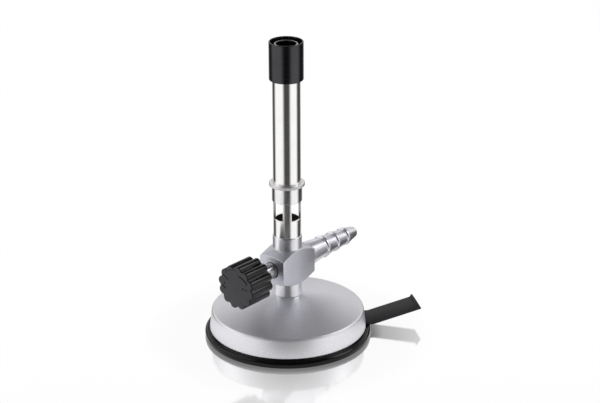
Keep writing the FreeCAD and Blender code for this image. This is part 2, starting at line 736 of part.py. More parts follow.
# Valve spindle: needle, stop-ring groove, thread, seal groove and the end that carries the knob.
clip_start = socket_reach - spindle_travel - clip_thickness - sliding_gap
groove_floor = shank - clip_thickness / 2
seal_floor = spindle_radius - o_ring_section
seal_half = o_ring_section / 2 + sliding_gap
thread_end = thread_start + spindle_travel * 2
spindle_end = spindle_end_diameter / 2
needle_back = needle_length * 0.4 - seat_reach
spindle = turned("valve_spindle", [
    (needle_back - needle_length, AXIS),
    (needle_back - needle_length, needle_tip_diameter / 2),
    (needle_back, shank),
    (clip_start - running_gap, shank),
    (clip_start - running_gap, groove_floor),
    (clip_start + clip_thickness + running_gap, groove_floor),
    (clip_start + clip_thickness + running_gap, shank),
    (thread_start + running_gap, shank),
    (thread_start + running_gap, spindle_radius),
    (o_ring_reach - seal_half, spindle_radius),
    (o_ring_reach - seal_half, seal_floor),
    (o_ring_reach + seal_half, seal_floor),
    (o_ring_reach + seal_half, spindle_radius),
    (gland_reach, spindle_radius),
    (gland_reach, spindle_end),
    (spindle_reach, spindle_end),
    (spindle_reach, AXIS),
], "H_Axis")
on_knob_side(spindle)

# Spindle seal: an O-ring in the spindle's groove, with a round section.
o_ring = doc.addObject("Part::Torus", "spindle_o_ring")
o_ring.Label = "spindle_o_ring"
o_ring.setExpression("Radius1", (spindle_radius - o_ring_section / 2 + running_gap / 2).text)
o_ring.setExpression("Radius2", (o_ring_section / 2 - running_gap / 2).text)
o_ring.Placement.Rotation = FreeCAD.Rotation(FreeCAD.Vector(0, 1, 0), 90)
o_ring.setExpression("Placement.Base.x", (-o_ring_reach).text)
o_ring.setExpression("Placement.Base.z", valve_axis.text)

# Spindle clip: an open stop ring that meets the gland before the thread runs out.
clip = ring("spindle_clip", groove_floor + running_gap, chamber_diameter / 2 - sliding_gap,
            clip_start, clip_start + clip_thickness, "H_Axis")
cut_one_side(clip, "opening", rectangle(-(clip_opening / 2), clip_opening / 2, AXIS, chamber_diameter),
             "YZ_Plane", socket_reach * 2)
on_knob_side(clip)

# Knob insert: a brass bush pressed on the spindle's end, moulded into the knob.
insert_back = knob_back + sliding_gap
insert = ring("knob_insert", spindle_end + fixed_gap, insert_diameter / 2, insert_back,
              insert_back + insert_length, "H_Axis")
on_knob_side(insert)

# Valve knob: a moulded knob with round ribs and chamfered ends.
knob_face = knob_back + knob_length
knob_hole = insert_diameter / 2 + fixed_gap
core = knob_core_diameter / 2
knob = turned("valve_knob", [
    (knob_back, knob_hole), (knob_back, core), (knob_face, core), (knob_face, AXIS),
    (spindle_reach + sliding_gap, AXIS), (spindle_reach + sliding_gap, spindle_end + sliding_gap),
    (insert_back + insert_length + fixed_gap, spindle_end + sliding_gap),
    (insert_back + insert_length + fixed_gap, knob_hole)], "H_Axis")
rib_radius = knob_rib_diameter / 2
rib_reach = knob_diameter / 2 - rib_radius
rib_sketch = circle_sketch(knob, "rib", rib_reach * cosine(knob_rib_bearing),
                           rib_reach * sine(knob_rib_bearing), knob_rib_diameter, "YZ_Plane")
rib_sketch.setExpression("AttachmentOffset.Base.z", knob_back.text)
rib = knob.newObject("PartDesign::Pad", "valve_knob_rib")
rib.Profile = rib_sketch
rib.setExpression("Length", knob_length.text)
copies_around(knob, "ribs", rib, "X_Axis", knob_ribs)
knob_rim = knob_diameter / 2
for end, station, inward in (("face", knob_face, -1), ("back", knob_back, 1)):
    revolve(knob, "Groove", f"{end}_chamfer", [
        (station, knob_rim - knob_chamfer), (station + knob_chamfer * inward, knob_rim),
        (station, knob_rim + knob_chamfer)], "H_Axis")
on_knob_side(knob)

# Gas jet and its sealing ring: the jet stands in the spigot, below the air windows.
ring("jet_gasket", passage_diameter / 2 + fixed_gap, jet_thread_diameter / 2 - fixed_gap,
     jet_seat, jet_seat + gasket_thickness)
jet_foot = jet_seat + gasket_thickness
jet_shoulder = tube_foot + spigot_height
jet_top = jet_shoulder + jet_head_height
jet_radius = jet_thread_diameter / 2 - fixed_gap
turned("gas_jet", [
    (jet_bore_diameter / 2, jet_foot),
    (jet_radius, jet_foot),
    (jet_radius, jet_shoulder),
    (jet_head_diameter / 2, jet_shoulder),
    (jet_head_diameter / 2, jet_top - jet_head_height / 3),
    (jet_head_diameter / 2 - jet_head_height / 3, jet_top),
    (jet_hole_diameter / 2, jet_top),
    (jet_hole_diameter / 2, jet_top - jet_hole_length),
    (jet_bore_diameter / 2, jet_top - jet_hole_length),
])

# Burner tube: a plain tube with four air windows, made by two slots that cross.
tube = ring("burner_tube", tube_bore_radius, tube_radius, tube_foot, tube_top)
half_window = window_width / 2
for plane in ("XZ_Plane", "YZ_Plane"):
    cut_through(tube, f"windows_{plane[:2]}", outline_sketch(tube, f"windows_{plane[:2]}", rectangle(
        -half_window, half_window, window_bottom, window_top), plane))
turn_about_z(tube, window_bearing)

# Air sleeve: a thin collar with a flange, and an inner groove for its spring ring.
sleeve_bore = tube_radius + sliding_gap
sleeve_top = sleeve_bottom + sleeve_length
flange_bottom = sleeve_top - flange_thickness
ring_outer = tube_radius + running_gap + ring_section
ring_low = flange_bottom + (flange_thickness - ring_section) / 2
ring_high = ring_low + ring_section
sleeve = turned("air_sleeve", [
    (sleeve_bore, sleeve_bottom),
    (sleeve_diameter / 2 - sleeve_chamfer, sleeve_bottom),
    (sleeve_diameter / 2, sleeve_bottom + sleeve_chamfer),
    (sleeve_diameter / 2, flange_bottom),
    (flange_diameter / 2, flange_bottom),
    (flange_diameter / 2, sleeve_top),
    (sleeve_bore, sleeve_top),
    (sleeve_bore, ring_high + running_gap),
    (ring_outer + running_gap, ring_high + running_gap),
    (ring_outer + running_gap, ring_low - running_gap),
    (sleeve_bore, ring_low - running_gap),
])
round_edges(sleeve, "flange", flange_rounding, either(
    circle_at(flange_diameter / 2, flange_bottom), circle_at(flange_diameter / 2, sleeve_top)))

# Sleeve ring: an open spring ring that grips the tube.
sleeve_ring = ring("sleeve_ring", tube_radius + running_gap, ring_outer, ring_low, ring_high)
cut_one_side(sleeve_ring, "opening", rectangle(
    -(ring_opening / 2), ring_opening / 2, sleeve_bottom, sleeve_top), "XZ_Plane", flange_diameter)

# Burner head: a black cap on the tube with a thin lip round the pilot gap.
head_bottom = head_top - head_length
head = turned("burner_head", [
    (tube_radius + fixed_gap, head_bottom),
    (head_diameter / 2, head_bottom),
    (head_diameter / 2, head_top),
    (head_inside, head_top),
    (head_inside, tube_top),
    (tube_radius + fixed_gap, tube_top),
])
round_edges(head, "edges", head_rounding, either(
    circle_at(head_diameter / 2, head_bottom), circle_at(head_diameter / 2, head_top)))

# Flame insert: a thin tube pressed into the burner tube, with pilot ports above the tube's end.
flame_outer = tube_bore_radius - fixed_gap
flame_top = head_top - flame_drop
flame = ring("flame_insert", flame_outer - flame_wall, flame_outer, flame_top - flame_length, flame_top)
for plane in ("XZ_Plane", "YZ_Plane"):
    cut_through(flame, f"ports_{plane[:2]}", circle_sketch(
        flame, f"ports_{plane[:2]}", AXIS, tube_top + ports_above_tube, port_diameter, plane))

doc.recompute()

faulty = [item.Name for item in doc.Objects if {"Invalid", "Error"} & set(item.State)]
nodes = [item for item in doc.Objects if item.TypeId in ("PartDesign::Body", "Part::Torus")]
for node in nodes:
    if node.Shape.isNull() or not node.Shape.isValid() or not node.Shape.Solids:
        faulty.append(node.Label)
if faulty:
    raise SystemExit("failed: " + ", ".join(faulty))

os.makedirs("parts", exist_ok=True)
for node in nodes:
    node.Shape.exportStep(f"parts/{node.Label}.step")
    print(node.Label, len(node.Shape.Solids), round(node.Shape.Volume, 2))
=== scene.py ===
import math
import bmesh
import bpy
from mathutils import Matrix, Vector


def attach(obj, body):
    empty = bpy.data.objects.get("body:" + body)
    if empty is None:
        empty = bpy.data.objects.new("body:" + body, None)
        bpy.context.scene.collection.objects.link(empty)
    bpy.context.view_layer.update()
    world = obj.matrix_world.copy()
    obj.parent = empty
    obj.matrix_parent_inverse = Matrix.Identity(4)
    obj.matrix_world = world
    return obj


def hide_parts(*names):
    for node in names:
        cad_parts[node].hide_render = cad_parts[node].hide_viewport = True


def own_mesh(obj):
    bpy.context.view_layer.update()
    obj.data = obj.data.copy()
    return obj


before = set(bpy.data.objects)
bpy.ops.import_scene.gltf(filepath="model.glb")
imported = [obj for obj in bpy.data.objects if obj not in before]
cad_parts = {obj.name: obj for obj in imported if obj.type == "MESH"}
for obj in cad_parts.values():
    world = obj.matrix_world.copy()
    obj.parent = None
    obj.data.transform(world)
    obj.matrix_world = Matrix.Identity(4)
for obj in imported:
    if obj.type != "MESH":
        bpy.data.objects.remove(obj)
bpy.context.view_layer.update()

# The suction pad: one black rubber moulding. A round bead shows under the skirt, a land carries the
# base, and a thin web rises to the hub that holds the pull stud.
# The rim stays on the bench and the hub falls with the stud.
MM = 0.001
SMOOTH_UNDER = math.radians(32)
MERGE = 1e-7


def soften(corners, steps=6):
    """Rounds the corners of an outline: (across, along, rounding) become plain points on arcs."""
    points = []
    count = len(corners)
    for index, (across, along, rounding) in enumerate(corners):
        here = Vector((across, along))
        if rounding <= 0:
            points.append(here)
            continue
        before = Vector(corners[index - 1][:2]) - here
        after = Vector(corners[(index + 1) % count][:2]) - here
        half = before.angle(after) / 2
        reach = min(rounding / math.tan(half), 0.48 * before.length, 0.48 * after.length)
        radius = reach * math.tan(half)
        middle = here + (before.normalized() + after.normalized()).normalized() * (radius / math.sin(half))
        start = here + before.normalized() * reach - middle
        end = here + after.normalized() * reach - middle
        for step in range(steps + 1):
            share = step / steps
            spoke = start.lerp(end, share).normalized() * radius
            points.append(middle + spoke)
    return points


def bare_piece(name, work):
    """Makes an object without a finish from a bmesh, and frees the bmesh."""
    mesh = bpy.data.meshes.new(name)
    work.to_mesh(mesh)
    work.free()
    piece = bpy.data.objects.new(name, mesh)
    bpy.context.scene.collection.objects.link(piece)
    return piece


def smooth(mesh):
    """Shades a mesh smooth except at its sharp edges."""
    for face in mesh.polygons:
        face.use_smooth = True
    mesh.set_sharp_from_angle(angle=SMOOTH_UNDER)


def mesh_piece(name, work, material):
    """Makes a finished object from a bmesh."""
    bmesh.ops.remove_doubles(work, verts=work.verts, dist=MERGE)
    bmesh.ops.recalc_face_normals(work, faces=work.faces)
    piece = bare_piece(name, work)
    smooth(piece.data)
    piece.data.materials.append(material)
    return piece


def lathe(name, corners, material, along="z", centre=(0, 0, 0), sides=144, ribs=None):
    """A turned piece from a closed outline of (radius, station, rounding), in millimetres."""
    work = bmesh.new()
    rings = []
    for radius, station in soften(corners):
        ring = []
        for side in range(sides):
            angle = 2 * math.pi * side / sides
            reach = ribs(angle, radius) if ribs else radius
            one, two = reach * math.cos(angle), reach * math.sin(angle)
            place = (one, two, station) if along == "z" else (station, one, two)
            ring.append(work.verts.new((Vector(place) + Vector(centre)) * MM))
        rings.append(ring)
    for low, high in zip(rings, rings[1:] + rings[:1]):
        for side in range(sides):
            after = (side + 1) % sides
            work.faces.new((low[side], low[after], high[after], high[side]))
    bmesh.ops.dissolve_degenerate(work, dist=MERGE, edges=work.edges)
    return mesh_piece(name, work, material)


def cutter(name, lows, highs, turn=0.0):
    """A plain block for cutting, between two corners in millimetres, turned about the burner's axis."""
    work = bmesh.new()
    bmesh.ops.create_cube(work, size=1.0)
    middle = [(low + high) / 2 for low, high in zip(lows, highs)]
    spans = [high - low for low, high in zip(lows, highs)]
    for vert in work.verts:
        vert.co = Vector([(m + c * s) * MM for m, c, s in zip(middle, vert.co, spans)])
    work.transform(Matrix.Rotation(turn, 4, "Z"))
    return bare_piece(name, work)


def round_edges(piece, width):
    """Adds a small bevel, in millimetres, to the sharp edges of a piece."""
    edge = piece.modifiers.new("edges", "BEVEL")
    edge.width = width * MM
    edge.segments = 3
    edge.limit_method = "ANGLE"
    edge.angle_limit = SMOOTH_UNDER
    return edge


def carve(piece, block, operation="DIFFERENCE", bevel=0.0):
    """Cuts a piece by a block, breaks the new edges if asked, and removes the block."""
    change = piece.modifiers.new("carve", "BOOLEAN")
    change.operation = operation
    change.solver = "EXACT"
    change.object = block
    if bevel:
        round_edges(piece, bevel)
    graph = bpy.context.evaluated_depsgraph_get()
    mesh = bpy.data.meshes.new_from_object(piece.evaluated_get(graph))
    piece.modifiers.clear()
    piece.data = mesh
    smooth(mesh)
    bpy.data.objects.remove(block)


def new_finish(name, colour, roughness, metallic=0.0):
    """A material with its shader set to one finish; the textures are added by each finish."""
    material = bpy.data.materials.new(name)
    material.use_nodes = True
    shader = material.node_tree.nodes["Principled BSDF"]
    shader.inputs["Base Color"].default_value = (*colour, 1)
    shader.inputs["Roughness"].default_value = roughness
    shader.inputs["Metallic"].default_value = metallic
    return material, material.node_tree, shader


def grain(tree, scale, detail=4.0, stretch=(1, 1, 1)):
    """Noise in the object's own coordinates: scale is in waves per metre."""
    nodes = tree.nodes
    place = nodes.new("ShaderNodeTexCoord")
    spread = nodes.new("ShaderNodeMapping")
    spread.inputs["Scale"].default_value = stretch
    tree.links.new(place.outputs["Object"], spread.inputs["Vector"])
    noise = nodes.new("ShaderNodeTexNoise")
    noise.inputs["Scale"].default_value = scale
    noise.inputs["Detail"].default_value = detail
    tree.links.new(spread.outputs["Vector"], noise.inputs["Vector"])
    return noise.outputs["Fac"]


def between(tree, value, low, high, start=0.3, stop=0.7):
    """Spreads a value over a range of plain numbers."""
    reach = tree.nodes.new("ShaderNodeMapRange")
    reach.inputs["From Min"].default_value = start
    reach.inputs["From Max"].default_value = stop
    reach.inputs["To Min"].default_value = low
    reach.inputs["To Max"].default_value = high
    tree.links.new(value, reach.inputs["Value"])
    return reach.outputs["Result"]


def tinted(tree, shader, value, dark, light, start=0.3, stop=0.7):
    """Colours a surface between two colours by a noise value."""
    ramp = tree.nodes.new("ShaderNodeValToRGB")
    ramp.color_ramp.elements[0].position = start
    ramp.color_ramp.elements[0].color = (*dark, 1)
    ramp.color_ramp.elements[1].position = stop
    ramp.color_ramp.elements[1].color = (*light, 1)
    tree.links.new(value, ramp.inputs["Fac"])
    tree.links.new(ramp.outputs["Color"], shader.inputs["Base Color"])


def roughened(tree, shader, value, low, high):
    """Lets the roughness of a surface wander between two levels by a noise value."""
    tree.links.new(between(tree, value, low, high), shader.inputs["Roughness"])


def bumped(tree, shader, value, height, strength=1.0):
    """Raises a surface by a noise value: height in millimetres."""
    bump = tree.nodes.new("ShaderNodeBump")
    bump.inputs["Strength"].default_value = strength
    bump.inputs["Distance"].default_value = height * MM
    tree.links.new(value, bump.inputs["Height"])
    tree.links.new(bump.outputs["Normal"], shader.inputs["Normal"])


def black_rubber():
    material, tree, shader = new_finish("black_rubber", (0.005, 0.005, 0.005), 0.24)
    shader.inputs["Specular IOR Level"].default_value = 0.22
    fine = grain(tree, 900)
    cloud = grain(tree, 120)
    tinted(tree, shader, cloud, (0.002, 0.002, 0.002), (0.004, 0.004, 0.0045))
    roughened(tree, shader, fine, 0.1, 0.17)
    bumped(tree, shader, fine, 0.02, 0.2)
    return material


LEVER_BEARING = math.radians(-37.6)
LEVER_ROOM = 6.5
PAD_RADIUS = 39.7
BEAD_HEIGHT = 3.3
SEAT = 3.8
CONTACT_INNER = 30.3
WEB = 2.0
DOME = 2.7
WEB_GAP = 0.05
HUB_RADIUS = 12.0
HUB_TOP = 5.7
rubber = black_rubber()
rim = lathe("pad_rim", [
    (CONTACT_INNER, 0.02, 0), (PAD_RADIUS - 0.3, 0.02, 0.4), (PAD_RADIUS, 0.5, 0.5), (PAD_RADIUS, 2.3, 1.0),
    (38.6, BEAD_HEIGHT, 0.9), (37.7, 2.7, 0.3), (37.2, SEAT - 0.02, 0.1), (32.4, SEAT - 0.02, 0.1),
    (CONTACT_INNER, WEB, 0)], rubber, sides=192)
carve(rim, cutter("lever_notch", (28.3, -LEVER_ROOM, 1.9), (45, LEVER_ROOM, 9), LEVER_BEARING))
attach(rim, "burner")
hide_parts("suction_pad")
web = lathe("pad_web", [
    (HUB_RADIUS + WEB_GAP, DOME, 0), (CONTACT_INNER - WEB_GAP, 0.03, 0), (CONTACT_INNER - WEB_GAP, WEB, 0),
    (HUB_RADIUS + WEB_GAP, DOME + WEB, 0)], rubber, sides=96)
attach(web, "burner")
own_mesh(web)
hub = lathe("pad_hub", [
    (0.2, DOME, 0), (HUB_RADIUS, DOME, 0.5), (HUB_RADIUS, HUB_TOP, 0.6), (2.6, HUB_TOP, 0.2),
    (0.2, HUB_TOP - 0.5, 0)], rubber, sides=96)
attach(hub, "stud")

# The pull stud, the lever's pin and washers, and the nut and washer under the base: plain turned and
# stamped steel, zinc plated, out of sight inside the housing. They keep their own solids.


def plated_steel(name, colour):
    material, tree, shader = new_finish(name, colour, 0.32, 1.0)
    streak = grain(tree, 700, stretch=(1, 1, 6))
    light = tuple(min(1.0, part * 1.15) for part in colour)
    tinted(tree, shader, streak, colour, light)
    roughened(tree, shader, streak, 0.25, 0.42)
    bumped(tree, shader, streak, 0.01, 0.3)
    return material


def dress(names, material):
    """Gives solids that already have the right shape their finish."""
    for name in names:
        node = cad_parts[name]
        node.data.materials.clear()
        node.data.materials.append(material)
        smooth(node.data)


dress(("pull_stud", "lever_pin", "stem_nut"), plated_steel("zinc_plate", (0.5, 0.51, 0.53)))
dress(("lever_washers", "lock_washer", "spindle_clip", "sleeve_ring"),
      plated_steel("spring_steel", (0.38, 0.39, 0.42)))

# The base housing: a cast shell with a low conical top, sprayed in silver paint with fine metal flake.
# The lever comes out through a slot in the skirt, away from the viewer.
SKIRT_RADIUS = 37.4
RIM_RADIUS = 36.3
RIM = 13.2
FOOT = 21.0
STEM_RADIUS = 6.9
SKIRT_INSIDE = 34.2
STEM_HOLE = 4.1
NUT_SEAT = 17.5
NUT_SEAT_RADIUS = 9.0


def silver_paint():
    material, tree, shader = new_finish("silver_paint", (0.92, 0.92, 0.97), 0.46, 0.85)
    flake = grain(tree, 2600, 2.0)
    cloud = grain(tree, 60)
    tinted(tree, shader, flake, (0.84, 0.84, 0.89), (0.98, 0.98, 1.0), 0.35, 0.65)
    roughened(tree, shader, cloud, 0.43, 0.49)
    bumped(tree, shader, flake, 0.012, 0.45)
    return material


base = lathe("base_shell", [
    (STEM_HOLE, NUT_SEAT, 0), (NUT_SEAT_RADIUS, NUT_SEAT, 0.3), (NUT_SEAT_RADIUS, 17.8, 0.3),
    (SKIRT_INSIDE, 10.6, 1.0), (SKIRT_INSIDE, SEAT, 0.2), (SKIRT_RADIUS, SEAT, 0.45),
    (RIM_RADIUS, RIM, 1.7), (STEM_RADIUS + 0.4, FOOT, 0.4), (STEM_HOLE, FOOT, 0)],
    silver_paint(), sides=192)
carve(base, cutter("lever_slot", (31, -LEVER_ROOM, 2.5), (41, LEVER_ROOM, 10.9), LEVER_BEARING), bevel=0.25)
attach(base, "burner")
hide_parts("base_housing")

# The suction lever: a bent steel strip with a satin black coating, a fork round the stud at its
# inner end and a raised lip for the finger at its tip.


def black_coating(name, dark, light, roughness, gloss=0.3, metallic=0.0):
    material, tree, shader = new_finish(name, dark, roughness, metallic)
    shader.inputs["Specular IOR Level"].default_value = gloss
    fine = grain(tree, 1500)
    cloud = grain(tree, 90)
    tinted(tree, shader, cloud, dark, light)
    roughened(tree, shader, fine, roughness - 0.06, roughness + 0.08)
    bumped(tree, shader, fine, 0.006, 0.2)
    return material


def break_edges(name, width):
    """Rounds the edges of a solid by a small bevel, in millimetres."""
    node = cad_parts[name]
    weld = node.modifiers.new("weld", "WELD")
    weld.merge_threshold = 1e-6
    round_edges(node, width).harden_normals = True


dress(("suction_lever",),
      black_coating("lever_black", (0.043, 0.042, 0.046), (0.054, 0.053, 0.057), 0.5, 0.16))
break_edges("suction_lever", 0.5)

# The valve body: one brass forging, turned above and below and milled flat at its sides, with a
# satin nickel plate on the block and fine turning marks on the round stem and boss.
VALVE_AXIS = 36.2
BLOCK_HALF_HEIGHT = 8.85
BLOCK_HALF_LENGTH = 11.4
BLOCK_HALF_WIDTH = 7.35
BLOCK_TOP = VALVE_AXIS + BLOCK_HALF_HEIGHT
BLOCK_BOTTOM = VALVE_AXIS - BLOCK_HALF_HEIGHT
TUBE_FOOT = 51.1


def satin_nickel():
    material, tree, shader = new_finish("satin_nickel", (0.71, 0.71, 0.775), 0.46, 1.0)
    fine = grain(tree, 1800, 3.0)
    tinted(tree, shader, fine, (0.65, 0.65, 0.71), (0.76, 0.76, 0.825))
    roughened(tree, shader, fine, 0.42, 0.5)
    bumped(tree, shader, fine, 0.008, 0.3)
    return material


def turned_plate(name, colour, roughness, axis="Z", grooves=0.8):
    """Plated metal with the fine grooves of turning round its axis, which draw reflections out along it."""
    material, tree, shader = new_finish(name, colour, roughness, 1.0)
    shader.inputs["Anisotropic"].default_value = grooves
    shader.inputs["Anisotropic Rotation"].default_value = 0.25
    round_axis = tree.nodes.new("ShaderNodeTangent")
    round_axis.direction_type = "RADIAL"
    round_axis.axis = axis
    tree.links.new(round_axis.outputs["Tangent"], shader.inputs["Tangent"])
    haze = grain(tree, 150)
    streak = grain(tree, 900, stretch=(1, 1, 0.15) if axis == "Z" else (0.15, 1, 1))
    light = tuple(min(1.0, part * 1.06) for part in colour)
    tinted(tree, shader, haze, colour, light)
    roughened(tree, shader, streak, roughness * 0.8, roughness * 1.25)
    return material


CORNER_RADIUS = 14.1
FLARE = (CORNER_RADIUS - STEM_RADIUS) * math.tan(math.radians(24.5))
GAS_BORE = 1.8
THREAD_RADIUS = 4.0
THREAD_END = 13.1
SPIGOT_RADIUS = 5.4
SPIGOT_TOP = TUBE_FOOT + 5
JET_BORE = 2.6
JET_SEAT = 44
SOCKET_RADIUS = 4.1
body = lathe("cross_block", [
    (GAS_BORE, THREAD_END, 0), (THREAD_RADIUS, THREAD_END, 0.3), (THREAD_RADIUS, FOOT, 0),
    (STEM_RADIUS, FOOT, 0.5), (STEM_RADIUS, BLOCK_BOTTOM, 0.3), (CORNER_RADIUS, BLOCK_BOTTOM + FLARE, 0),
    (CORNER_RADIUS, BLOCK_TOP - FLARE, 0), (STEM_RADIUS, BLOCK_TOP, 0.3), (STEM_RADIUS, TUBE_FOOT, 0.5),
    (SPIGOT_RADIUS, TUBE_FOOT, 0), (SPIGOT_RADIUS, SPIGOT_TOP, 0.3), (JET_BORE, SPIGOT_TOP, 0),
    (JET_BORE, JET_SEAT, 0), (GAS_BORE, JET_SEAT, 0)], satin_nickel(), sides=96)
flats = cutter("flats", (-BLOCK_HALF_LENGTH, -BLOCK_HALF_WIDTH, 0),
               (BLOCK_HALF_LENGTH, BLOCK_HALF_WIDTH, 70))
carve(body, flats, "INTERSECT", bevel=0.2)


def round_cutter(name, radius, start, stop):
    """A round bar along the valve's axis, for cutting, in millimetres."""
    work = bmesh.new()
    bmesh.ops.create_cone(work, cap_ends=True, segments=64, radius1=radius * MM, radius2=radius * MM,
                          depth=(stop - start) * MM)
    work.transform(Matrix.Translation(Vector(((start + stop) / 2, 0, VALVE_AXIS)) * MM)
                   @ Matrix.Rotation(math.pi / 2, 4, "Y"))
    return bare_piece(name, work)


carve(body, round_cutter("gland_socket", SOCKET_RADIUS, -20, -5))
body.data.materials.append(turned_plate("turned_boss", (0.87, 0.87, 0.9), 0.4, grooves=0.9))
body.data.materials.append(turned_plate("turned_stem", (0.9, 0.9, 0.92), 0.16, grooves=0.9))
for face in body.data.polygons:
    height = face.center.z / MM
    if Vector(face.center.xy).length < (STEM_RADIUS + 0.05) * MM and not BLOCK_BOTTOM < height < BLOCK_TOP:
        face.material_index = 1 if height > VALVE_AXIS else 2
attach(body, "burner")
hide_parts("valve_body")

# The hose nozzle: a turned brass nozzle with three sharp hose rings, satin nickel plated, screwed
# into the block.
NOZZLE_BORE = 1.7
NOZZLE_ROOT_RADIUS = 6.2
NOZZLE_TIP = 49.8
RINGS = 3
FIRST_RING = 24.9
RING_PITCH = 8.1
RING_RADIUS = 5.4
RING_STEP = 0.5
nozzle_corners = [(NOZZLE_BORE, BLOCK_HALF_LENGTH, 0), (NOZZLE_ROOT_RADIUS, BLOCK_HALF_LENGTH, 0.3)]
for turn in range(RINGS):
    station = FIRST_RING + RING_PITCH * turn
    crest = RING_RADIUS - RING_STEP * turn
    nozzle_corners.append((crest - 0.55, station - 0.6, 0.2))
    nozzle_corners.append((crest, station, 0.2))
    nozzle_corners.append((crest, station + 1.0, 0.2))
    nozzle_corners.append((crest - 0.4, station + 1.6, 0.2))
nozzle_corners += [(2.675, 49.1, 0.5), (2.15, NOZZLE_TIP, 0.3), (NOZZLE_BORE, NOZZLE_TIP, 0.1)]
nozzle_plate = turned_plate("turned_nozzle", (0.84, 0.84, 0.9), 0.32, "X", 0.6)
nozzle = lathe("ringed_nozzle", nozzle_corners, nozzle_plate, "x", (0, 0, VALVE_AXIS), 96)
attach(nozzle, "burner")
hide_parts("hose_nozzle")

# The seals: thin black rings at the bottom of the sockets, under the jet and round the spindle.
# They are inside and keep their own solids.
dress(("nozzle_gasket", "gland_gasket", "jet_gasket", "spindle_o_ring"),
      black_coating("seal_black", (0.03, 0.03, 0.03), (0.05, 0.05, 0.05), 0.5))

# The brass inside: jet, spindle and knob insert, turned and left as turned, browned by use.
# They sit inside the valve and the knob, and keep their own solids.


def turned_brass():
    material, tree, shader = new_finish("turned_brass", (0.3, 0.22, 0.13), 0.4, 1.0)
    streak = grain(tree, 500, stretch=(1, 1, 8))
    tinted(tree, shader, streak, (0.2, 0.15, 0.09), (0.34, 0.26, 0.15))
    roughened(tree, shader, streak, 0.35, 0.5)
    return material


dress(("gas_jet", "valve_spindle", "knob_insert"), turned_brass())

# The gland nut: a round chromed nut in the block's socket, turned bright.
# Its thread fills the bottom of the socket, and a dark gap shows round the nut at the mouth.
GLAND_BORE = 2.6
GLAND_RADIUS = 3.8
GLAND_THREAD_RADIUS = SOCKET_RADIUS - 0.05
GLAND_ROOT = -5.5
GLAND_SHOULDER = -8.7
GLAND_END = -22.2
gland = lathe("round_gland", [
    (GLAND_BORE, GLAND_ROOT, 0), (GLAND_THREAD_RADIUS, GLAND_ROOT, 0),
    (GLAND_THREAD_RADIUS, GLAND_SHOULDER, 0), (GLAND_RADIUS, GLAND_SHOULDER, 0),
    (GLAND_RADIUS, GLAND_END, 0.4), (GLAND_BORE, GLAND_END, 0.1)],
    turned_plate("polished_chrome", (0.46, 0.46, 0.48), 0.2, "X", 0.92), "x", (0, 0, VALVE_AXIS), 96)
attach(gland, "burner")
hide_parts("gland_nut")

# The valve knob: black moulded plastic with twelve round glossy ribs, a flat satin face and shallow
# marks for open and shut.
KNOB_BACK = -22.5
KNOB_FACE = -36.8
RIBS = 12
RIB_BEARING = math.pi - math.radians(21.5)
RIB_RADIUS = 2.15
KNOB_RADIUS = 10.75
KNOB_CORE = 9.6
KNOB_HOLE = 3.6
KNOB_WALL = 4
NEAR_AXIS = 0.05


def ribbed(angle, radius):
    """Lets the outer wall of the knob follow its round ribs."""
    if radius < KNOB_CORE - 0.6:
        return radius
    step = 2 * math.pi / RIBS
    off = (angle - RIB_BEARING + step / 2) % step - step / 2
    across = (KNOB_RADIUS - RIB_RADIUS) * math.sin(off)
    crest = 0.0
    if abs(across) < RIB_RADIUS:
        crest = (KNOB_RADIUS - RIB_RADIUS) * math.cos(off) + math.sqrt(RIB_RADIUS ** 2 - across ** 2)
    return max(KNOB_CORE, crest) + radius - KNOB_CORE


def knob_plastic(name, dark, light, roughness, gloss):
    material, tree, shader = new_finish(name, dark, roughness)
    shader.inputs["Specular IOR Level"].default_value = gloss
    fine = grain(tree, 1200)
    cloud = grain(tree, 200)
    tinted(tree, shader, cloud, dark, light)
    roughened(tree, shader, fine, roughness * 0.85, roughness * 1.2)
    bumped(tree, shader, fine, 0.006, 0.15)
    return material


knob_gloss = knob_plastic("knob_gloss", (0.0025, 0.0025, 0.0035), (0.004, 0.004, 0.0055), 0.07, 0.36)
knob = lathe("ribbed_knob", [
    (KNOB_HOLE, KNOB_BACK, 0), (KNOB_CORE, KNOB_BACK, 0.5), (KNOB_CORE, KNOB_FACE, 0.5),
    (NEAR_AXIS, KNOB_FACE, 0), (NEAR_AXIS, KNOB_FACE + KNOB_WALL, 0),
    (KNOB_HOLE, KNOB_FACE + KNOB_WALL, 0)],
    knob_gloss, "x", (0, 0, VALVE_AXIS), RIBS * 36, ribbed)
MARK_DEPTH = 0.3
MARKS = (
    (0.45, [(9.0, 148), (5.3, 148)]),
    (0.6, [(6.7, 72), (6.9, 62), (7.2, 52), (7.5, 42), (7.8, 32), (8.0, 24)]),
    (0.25, [(8.7, 137), (8.7, 125), (8.7, 113), (8.7, 101), (8.7, 90)]),
    (0.8, [(7.1, 175), (6.3, 175)]),
    (0.6, [(8.2, -175), (6.3, -162)]),
    (0.8, [(4.2, 9), (4.9, 7)]),
    (0.35, [(5.2, 6.5), (7.4, 3.6)]))
work = bmesh.new()
